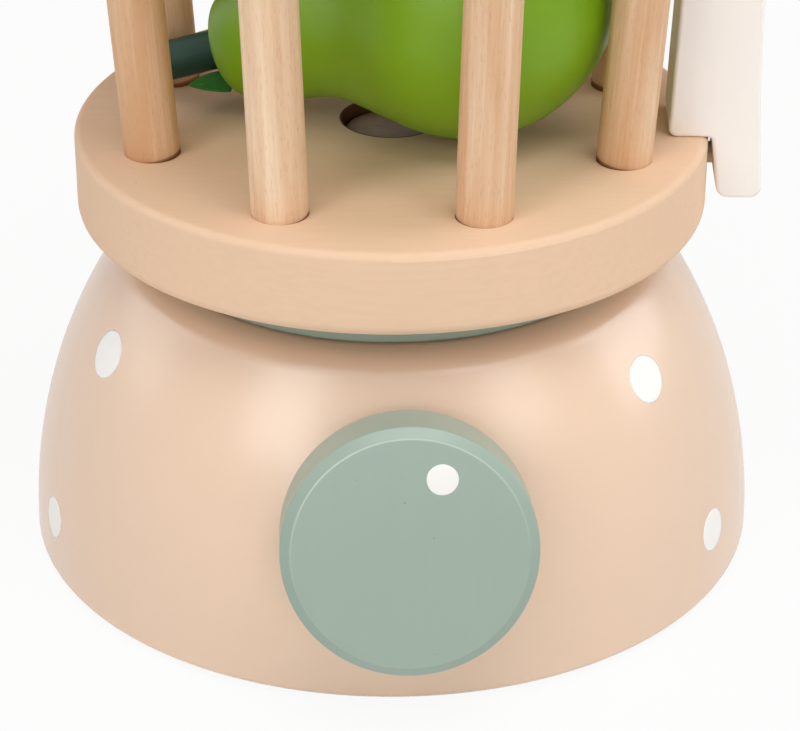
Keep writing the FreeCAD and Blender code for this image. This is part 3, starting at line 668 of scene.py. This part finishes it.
# A painted highlight along the bevel's inner edge, strongest on its upper half.
glint_away = np.hypot(np.hypot(knob_x, knob_y) - GLINT_RADIUS, knob_z - GLINT_LEVEL)
glint_around = np.clip(0.2 + 0.8 * np.cos(np.arctan2(knob_y, knob_x) - GLINT_HEADING), 0, 1)
bevel_glint = GLINT_SHARE * np.exp(-(glint_away / GLINT_WIDTH) ** 2) * glint_around
knob_stick = np.stack([knob_z, knob_x, knob_y], axis=-1) * MM
knob = surface("knob_turned", on_knob(knob_local), knob_stick, marks={"glint": bevel_glint})
knob.data.materials.append(sage_knob)
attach(knob, "knob")
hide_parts("knob")

# %% [markdown]
# ## The painted dots
#
# The dots are stamped on with thick white paint, so each stands a hair proud
# and has a soft edge. A mask in the peach finish would give them no edge at
# all. Each dot is a thin lens instead: a flat disc in the plane that touches
# the base, pressed down on to the curved side.

# %% Stamp the dots
DOT_PROUD, DOT_EDGE, DOT_SUNK = 0.07, 0.01, 0.25         # mm: its middle, its edge and its back
KNOB_DOT_RADIUS, KNOB_DOT_PLACE = 2.78, (5.5, 13.1)      # mm, sideways and up the knob's face


def dot_lens(radius, rings=10, segments=48):
    """Local lens in mm as polar grids: out over the front, back under. The
    front stands proud by 1 - rho^6 and the back is sunk under the surface.
    Rings lie closer towards the edge, which wavers by two small sines."""
    out = np.linspace(0.0, 1.0, rings) ** 0.6
    rho = np.concatenate([out, out[-2::-1]])
    front = np.concatenate([DOT_PROUD * (1 - out ** 6) - DOT_EDGE, np.full(rings - 1, -DOT_SUNK)])
    angle = ring(segments)
    wobble = 1 + 0.006 * np.sin(3 * angle + 1.0) + 0.004 * np.sin(5 * angle)
    x = radius * rho[:, None] * np.cos(angle) * wobble
    y = radius * rho[:, None] * np.sin(angle) * wobble
    return x, y, front[:, None] + 0 * angle


def base_dot(azimuth, height, radius):
    """A dot pressed on to the dome. Its plane point C + x side + y slope is
    moved level towards the axis until it lies on the side, plus its lift."""
    x, y, lift = dot_lens(radius)
    out, side = front_axes(math.radians(azimuth))
    fall = dome_fall(height)
    slope = np.array([0, 0, math.cos(fall)]) - out * math.sin(fall)
    middle = out * dome_radius(height) + np.array([0, 0, height])
    plane = middle + x[..., None] * side + y[..., None] * slope
    around = np.arctan2(plane[..., 0], -plane[..., 1])
    tilt = dome_fall(plane[..., 2])
    reach = dome_radius(plane[..., 2]) + lift * np.cos(tilt)
    rise = plane[..., 2] + lift * np.sin(tilt) + BASE_EDGE
    return np.stack([reach * np.sin(around), -reach * np.cos(around), rise], axis=-1) * MM


# Degrees round from the front, height up the side and radius in mm. A hand
# stamps them, so they lie unevenly and differ a little in size.
DOTS = [(-60.6, 46.3, 4.55), (54.0, 46.2, 4.45), (-65.3, 11.5, 3.95), (62.6, 13.2, 4.05),
        (-98.0, 31.0, 4.3), (97.0, 30.0, 4.2), (-131.0, 46.5, 4.45), (131.0, 47.0, 4.5),
        (-140.0, 14.0, 3.95), (138.0, 13.5, 4.1), (179.0, 30.5, 4.35)]
for index, place in enumerate(DOTS):
    grid = base_dot(*place)
    dot = surface("base_dot_%d" % (index + 1), grid, grid)
    dot.data.materials.append(milk_dot)
    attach(dot, "base")

x, y, lift = dot_lens(KNOB_DOT_RADIUS)
dot_x, dot_y = KNOB_DOT_PLACE
grid = on_knob(np.stack([x + dot_x, y + dot_y, lift + KNOB_FACE], axis=-1))
knob_dot = surface("knob_dot", grid, grid)
knob_dot.data.materials.append(knob_milk)
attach(knob_dot, "knob")

# %% [markdown]
# ## The cage's dowels
#
# Eight beech dowels stand in sockets in the jug's floor and lean outwards to
# the rim. Each is a circle carried along its own axis. A cylinder would do for
# the stick, but the real ones are eased where they enter the boards, which
# leaves the thin dark seam round each foot, and the seam is level with the
# board, not square to the dowel.

# %% Stand the dowels
DOWEL_RADIUS, FLOOR_TOP, RIM_BOTTOM = 5.0, 82.7, 182.7   # mm, here and below
FOOT_CIRCLE, HEAD_CIRCLE = 45.7, 52.2
SOCKET_DEPTH, RIM_SOCKET = 9.95, 7.95
SEAM, SEAM_EASE = 0.1, 0.16
THIN = DOWEL_RADIUS - SEAM                               # its radius inside the boards
END_EASE = 0.6
LEAN_SLOPE = (HEAD_CIRCLE - FOOT_CIRCLE) / (RIM_BOTTOM - FLOOR_TOP)
DOWEL_SEGMENTS = 72
DOWEL_TONES = [0.6, 0.4, 0.5, 0.8, 0.9, -0.25, 0.38, 0.55]
FIRST_TURN, NEXT_TURN = 1.3, 2.1                         # radians that its fibres are turned by
STEP_IN_TREE = np.array([0.11, 0.07, 0.23])              # metres of wood between two dowels


def dowel_rows(length):
    """Distance along the dowel, its radius there, 1 where the row lies level with the
    board, and how much seam brown it has, glue and painted shade: foot, stick and head."""
    foot = [(-SOCKET_DEPTH, 0.0, 0, 1), (-SOCKET_DEPTH, THIN - END_EASE, 0, 1),
            (-SOCKET_DEPTH + END_EASE, THIN, 0, 1), (-1.0, THIN, 1, 1), (0.02, THIN, 1, 1),
            (0.08, THIN + 0.04, 1, 0.9), (0.02 + SEAM_EASE, DOWEL_RADIUS, 1, 0.9),
            (0.36, DOWEL_RADIUS, 1, 0.8), (0.6, DOWEL_RADIUS, 1, 0.25), (1.4, DOWEL_RADIUS, 1, 0.08)]
    stick = [(along, DOWEL_RADIUS, 0, 0) for along in np.linspace(3.0, length - 3.0, 24)]
    head = [(-0.6, DOWEL_RADIUS, 1, 0.18), (-SEAM_EASE, DOWEL_RADIUS, 1, 0.75),
            (-0.08, THIN + 0.04, 1, 0.9), (-0.02, THIN, 1, 1), (1.0, THIN, 1, 1),
            (RIM_SOCKET - END_EASE, THIN, 0, 1), (RIM_SOCKET, THIN - END_EASE, 0, 1),
            (RIM_SOCKET, 0.0, 0, 1)]
    return np.array(foot + stick + [(length + beyond, *rest) for beyond, *rest in head])


def dowel_grid(azimuth, turn):
    """Rows of circles along the axis. Near a board each row is sheared by
    -tan(lean) r cos(angle), so that it lies level with the board's face. The
    fibre coordinates are turned round the stick by turn."""
    radial = np.array([math.cos(azimuth), math.sin(azimuth), 0.0])
    tangent = np.array([-math.sin(azimuth), math.cos(azimuth), 0.0])
    foot = radial * FOOT_CIRCLE + np.array([0, 0, FLOOR_TOP])
    head = radial * HEAD_CIRCLE + np.array([0, 0, RIM_BOTTOM])
    length = np.linalg.norm(head - foot)
    along = (head - foot) / length
    rows = dowel_rows(length)
    angle = ring(DOWEL_SEGMENTS)
    across = rows[:, 1:2] * np.cos(angle)
    beside = rows[:, 1:2] * np.sin(angle)
    level = rows[:, :1] - rows[:, 2:3] * LEAN_SLOPE * across
    local = np.stack([across, beside, level], axis=-1)
    grid = placed(local, foot, np.cross(tangent, along), tangent, along)
    spin = np.array([[math.cos(turn), -math.sin(turn), 0], [math.sin(turn), math.cos(turn), 0], [0, 0, 1]])
    return grid, local @ spin * MM, rows[:, 3:] + 0 * angle


# Each dowel's foot mark browns it at both boards: glue, and painted shade.
for index, tone in enumerate(DOWEL_TONES):
    azimuth = math.radians(360.0 / len(DOWEL_TONES) * (index + 0.5))
    grid, stick, foot = dowel_grid(azimuth, FIRST_TURN + NEXT_TURN * index)
    stick = stick + STEP_IN_TREE * (index + 1)
    dowel = surface("beech_dowel_%d" % (index + 1), grid, stick,
                    marks={"foot": foot, "tone": np.full(foot.shape, tone)})
    dowel.data.materials.append(beech_own)
    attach(dowel, "jug")
    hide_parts("cage_dowel_%d" % (index + 1))

# %% [markdown]
# ## The play pear
#
# The pear is turned in one piece and lies on its side in the jug. Its belly is
# half a ball; from there the side flows through a waist to the neck. The side
# is a chain of cubic curves that share their slope where they meet, which is
# how a turner's template is drawn. Sculpting it would leave it less round.

# %% The turner's template
PEAR_BELLY = np.array([13.7029, -4.5053, 110.0])         # mm: the middle of its ball
PEAR_HEADING, PEAR_DIP = math.radians(167.2893), math.radians(19.3256)
BELLY_RADIUS, PEAR_END, END_FLAT = 27.0, 48.593, 6.0     # mm, PEAR_END along its axis
pear_axis = np.array([math.cos(PEAR_HEADING) * math.cos(PEAR_DIP),
                      math.sin(PEAR_HEADING) * math.cos(PEAR_DIP), -math.sin(PEAR_DIP)])
pear_side = np.array([-math.sin(PEAR_HEADING), math.cos(PEAR_HEADING), 0.0])
pear_up = np.cross(pear_axis, pear_side)

# Radius and distance from the belly's middle in mm, then the side's direction.
STATIONS = [(BELLY_RADIUS, 0, 0, 1), (14.1, 28.2, -0.47, 1), (12.3, 36.7, -0.29, 1),
            (END_FLAT, PEAR_END, -1, 0.2)]
# How far each curve holds on to its two stations' directions, in chords.
PULLS = [(0.44, 0.32), (0.32, 0.32), (0.42, 0.42)]
TEMPLATE_STEPS, BELLY_STEPS = 30, 40


def template(stations, pulls, steps):
    """The turner's template, (r, z) in mm. Between two stations the side is
    a (1-t)^3 + 3 b (1-t)^2 t + 3 c (1-t) t^2 + d t^3, whose inner points b and
    c lie along the stations' directions, a share of the chord away."""
    stations, pulls = np.array(stations, dtype=float), np.array(pulls)
    spot, way = stations[:, :2], stations[:, 2:]
    way = way / np.linalg.norm(way, axis=1, keepdims=True)
    chord = np.linalg.norm(np.diff(spot, axis=0), axis=1)[:, None]
    inner = spot[:-1] + way[:-1] * chord * pulls[:, :1]
    outer = spot[1:] - way[1:] * chord * pulls[:, 1:]
    t = np.linspace(0, 1, steps, endpoint=False)[:, None]
    weights = np.hstack([(1 - t) ** 3, 3 * (1 - t) ** 2 * t, 3 * (1 - t) * t ** 2, t ** 3])
    curve = np.einsum("tk,ksc->stc", weights, np.stack([spot[:-1], inner, outer, spot[1:]]))
    return np.vstack([curve.reshape(-1, 2), spot[-1:]])


side = template(STATIONS, PULLS, TEMPLATE_STEPS)
neck = side[2 * TEMPLATE_STEPS, 0]
print("the side has %d points, and the neck is %.1f mm across" % (len(side), 2 * neck))

# %% [markdown]
# The body and the stem share one axis, so one helper places both. The stem is
# a short turned stick, let into a drilled socket in the neck's flat end, whose
# rim shows as a fine line round it.

# %% Turn the pear and its stem
STEM_RADIUS, STEM_FOOT, STEM_TIP = 3.7, 44.6, 64.993     # mm, the last two along the pear's axis
SOCKET_RADIUS = 3.75


def turned_on_pear(name, profile, segments):
    """A piece turned on the pear's axis. Its fibres run along that axis."""
    local = turned(profile, segments)
    return surface(name, placed(local, PEAR_BELLY, pear_side, pear_up, pear_axis), local * MM)


belly_angle = np.linspace(-np.pi / 2, 0, BELLY_STEPS, endpoint=False)
belly = BELLY_RADIUS * np.column_stack([np.cos(belly_angle), np.sin(belly_angle)])
belly[0, 0] = 0.0
socket = rounded_profile([(END_FLAT, PEAR_END), (SOCKET_RADIUS, PEAR_END), (SOCKET_RADIUS, STEM_FOOT),
                          (0, STEM_FOOT)], [0.3, 0.0])[1:]
pear = turned_on_pear("pear_turned", np.vstack([belly, side, socket]), segments=144)
pear.data.materials.append(pear_green)
stem_profile = rounded_profile([(0, STEM_FOOT), (STEM_RADIUS, STEM_FOOT), (STEM_RADIUS, STEM_TIP),
                                (0, STEM_TIP)], [0.0, 0.7])
stem = turned_on_pear("pear_stem_turned", stem_profile, segments=64)
stem.data.materials.append(stem_green)

# %% [markdown]
# ## The leaf
#
# The leaf is cut from green felt between two long arcs and glued to the
# neck's end, under the stem, with its pointed tip out in front. Felt never
# lies quite flat: the lower margin curls down, and a pressed midrib and side
# veins run through it. Its section is a flat rounded loop, carried from the
# root to the tip. A flat shape thickened by a modifier would lose the veins.

# %% Cut the leaf
LEAF_WIDTH, LEAF_THICK = 5.7, 0.9   # mm, here and below
LEAF_ROOT = (-7.45, -4.82, 8.75)    # from the neck's end: along the pear, forwards, down
LEAF_TIP = (6.13, 7.65, 3.32)
LEAF_ROLL = math.radians(59.0)      # from standing on edge to lying flat
LEAF_GLUE = 0.05                    # its root is cut off this far beyond the neck's end
LEAF_CORNER = 0.4                   # a power of the section's sine: the less, the squarer
MIDRIB_WIDTH, MIDRIB_DEPTH = 0.4, 0.45      # the depths are shares of half the thickness
VEIN_SPACING, VEIN_SLANT, VEIN_DEPTH = 1.8, 0.8, 0.16
CURL_START, CURL = 1.0, 0.3         # below the midrib, and how far it curls 1 mm beyond that


def leaf_half_width(reach, length):
    """Two equal arcs that meet in points at both ends of the leaf."""
    bow = (length ** 2 + LEAF_WIDTH ** 2) / (4 * LEAF_WIDTH)
    return np.sqrt(np.maximum(bow ** 2 - (reach - length / 2) ** 2, 0)) - (bow - LEAF_WIDTH / 2)


def leaf_axes():
    """The leaf's root and length, and its axes along, across and out of it. Its
    face stands upright on its line from root to tip and is rolled flat."""
    end = PEAR_BELLY + pear_axis * PEAR_END
    root, tip = end + np.array([LEAF_ROOT, LEAF_TIP]) @ np.array([pear_axis, pear_side, -pear_up])
    length = np.linalg.norm(tip - root)
    along = (tip - root) / length
    upright = pear_side - along * (pear_side @ along)
    upright = upright / np.linalg.norm(upright)
    out = upright * math.cos(LEAF_ROLL) + np.cross(along, upright) * math.sin(LEAF_ROLL)
    return root, length, along, np.cross(out, along), out


def leaf_grid(stations=56, around=96, fine_steps=2000):
    """Column q runs from the cut root to the tip at u = q w(s) across the
    leaf. The faces lie at +- half the thickness, thinner by the midrib
    exp(-(u / m)^2) and by the veins' squared sine, and the margin curls by
    the square of what it lies beyond CURL_START."""
    root, length, along, across, out = leaf_axes()
    angle = ring(around)
    q = np.cos(angle)
    face = np.sign(np.sin(angle)) * np.abs(np.sin(angle)) ** LEAF_CORNER * LEAF_THICK / 2
    fine = np.linspace(0, length, fine_steps)[:, None]
    beyond = (LEAF_ROOT[0] + fine * (along @ pear_axis) + face * (out @ pear_axis)
              + q * leaf_half_width(fine, length) * (across @ pear_axis))
    start = fine[(beyond > LEAF_GLUE).argmax(axis=0), 0]
    reach = start + (length - start) * np.linspace(0, 1, stations)[:, None]
    u = q * np.maximum(leaf_half_width(reach, length), 0)
    midrib = MIDRIB_DEPTH * np.exp(-(u / MIDRIB_WIDTH) ** 2)
    wave = np.sin(2 * np.pi * (reach - VEIN_SLANT * np.abs(u)) / VEIN_SPACING)
    veins = VEIN_DEPTH * wave ** 2 * np.clip(np.abs(u), 0, 1)
    curl = CURL * np.clip(-u - CURL_START, 0, None) ** 2 * np.clip((reach - start) / 2, 0, 1)
    rise = face * (1 - (midrib + veins)) - curl
    rise[-1] = rise[-1].mean()
    u[-1], reach[-1] = 0.0, length
    cap = np.stack([a[:1].mean(axis=1, keepdims=True) + 0 * q for a in (reach, u, rise)], axis=-1)
    local = np.concatenate([cap, np.stack([reach, u, rise], axis=-1)])
    return placed(local, root, along, across, out), local[..., [1, 2, 0]] * MM


grid, stick = leaf_grid()
leaf = surface("pear_leaf_cut", grid, stick)
leaf.data.materials.append(leaf_felt)
for piece, node, slot in ((pear, "pear_body", "pear_paint"), (stem, "pear_stem", "stem_paint"),
                          (leaf, "pear_leaf", "green_felt")):
    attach(piece, "pear")
    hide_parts(node)

# %% [markdown]
# ## The studio
#
# The toy stands on a white floor that reaches far behind it. To the camera,
# the floor and the sky look white without adding light to the toy, and the
# floor's own grey fades out with distance, so that no horizon shows. A warm
# sky stands for the room's walls. Brighter lamps would whiten the floor too,
# but they would bleach the paint with it.

# %% Floor and sky
WHITE = (1.0, 1.0, 1.0, 1.0)
FLOOR_GREY = (0.80, 0.79, 0.78, 1.0)
FLOOR_WHITENESS = 0.92
FADE_START, FADE_END = 0.25, 1.1    # metres from the toy, over which the floor turns to plain white
FLOOR_REACH = 2.5                   # metres
WARM_WALLS, WALL_LIGHT = (1.0, 0.9, 0.78, 1.0), 0.04


def white_to_the_eye(graph, lit, white, share):
    """Mixes this share of plain white into a shader, for camera, mirror and
    glass rays only: the greatest of the three ray tests times the share."""
    seen = graph.node("LightPath", out="Is Camera Ray")
    for ray in ("Is Glossy Ray", "Is Transmission Ray"):
        seen = seen.maths("MAXIMUM", seen, graph.node("LightPath", out=ray))
    return graph.node("MixShader", {}, {0: seen * share, 1: lit, 2: white})


floor_graph = Finish("white_floor")
floor_fade = floor_graph.between(floor_graph.axis_distance(), FADE_START, FADE_END)
floor_graph.node("OutputMaterial", {}, {"Surface": white_to_the_eye(
    floor_graph, floor_graph.node("BsdfDiffuse", {}, {"Color": FLOOR_GREY}),
    floor_graph.node("Emission", {}, {"Color": WHITE, "Strength": 1.0}),
    FLOOR_WHITENESS + floor_fade * (1 - FLOOR_WHITENESS))})
edge = np.linspace(-FLOOR_REACH, FLOOR_REACH, 3)
floor_points = np.stack(np.meshgrid(edge, edge, [0.0], indexing="ij"), axis=-1).reshape(-1, 3)
floor_mesh = bpy.data.meshes.new("floor")
floor_mesh.from_pydata(floor_points.tolist(), [], [(0, 3, 4, 1), (1, 4, 5, 2), (3, 6, 7, 4), (4, 7, 8, 5)])
floor_mesh.materials.append(floor_graph.material)
floor = put_in_scene("floor", floor_mesh)

sky = Finish("sky", bpy.data.worlds.new("sky"))
sky.node("OutputWorld", {}, {"Surface": white_to_the_eye(
    sky, sky.node("Background", {}, {"Color": WARM_WALLS, "Strength": WALL_LIGHT}),
    sky.node("Background", {}, {"Color": WHITE, "Strength": 1.0}), 1.0)})
bpy.context.scene.world = sky.material
print("floor %.1f m wide" % (2 * FLOOR_REACH))

# %% [markdown]
# Seven soft lamps light the toy. The large one overhead does most of the work.
# One at each side in front leaves the two soft sheens on the base, a long low
# one opens the shadows under the jug, one high on the right models the dowels,
# and one behind at each side lifts the edges. Their levels are chosen so that
# a white card stays just white, and every paint keeps its own colour.

# %% Lamps
AIM_HEIGHT = 0.08                   # metres up the toy's axis, the point that every lamp faces

# Name, degrees round from the front and up, metres away, wide and tall, level.
LAMPS = [("overhead", 0, 76, 1.2, 1.0, 0.8, 0.58),
         ("left_box", -38, 30, 1.3, 0.52, 0.75, 0.21),
         ("right_box", 50, 27, 1.3, 0.45, 0.5, 0.075),
         ("right_top", 60, 58, 1.3, 0.8, 0.6, 0.17),
         ("right_back", 105, 22, 1.3, 0.8, 0.8, 0.32),
         ("left_back", -105, 22, 1.3, 0.8, 0.8, 0.17),
         ("low_front", 0, 12, 1.5, 1.8, 0.5, 0.29)]


def softbox(name, azimuth, elevation, distance, wide, tall, level):
    """A lamp facing the point AIM_HEIGHT up the toy's axis. level is how bright
    a white card facing it would look, so its power is level pi^2 distance^2."""
    out, right = front_axes(math.radians(azimuth))
    rise = math.radians(elevation)
    back = out * math.cos(rise) + np.array([0, 0, math.sin(rise)])
    data = bpy.data.lights.new(name, "AREA")
    data.shape = "RECTANGLE"
    data.size, data.size_y = wide, tall
    data.energy = level * math.pi ** 2 * distance ** 2
    lamp = put_in_scene(name, data)
    lamp.matrix_world = axes_matrix(right, np.cross(back, right), back,
                                    back * distance + np.array([0, 0, AIM_HEIGHT]))
    print("%-12s %.1f W" % (name, data.energy))


for lamp in LAMPS:
    softbox(*lamp)

# %% [markdown]
# ## Finishing
#
# The colours are shown through Blender's Standard view transform.

# %% Finish
bpy.context.scene.view_settings.view_transform = "Standard"
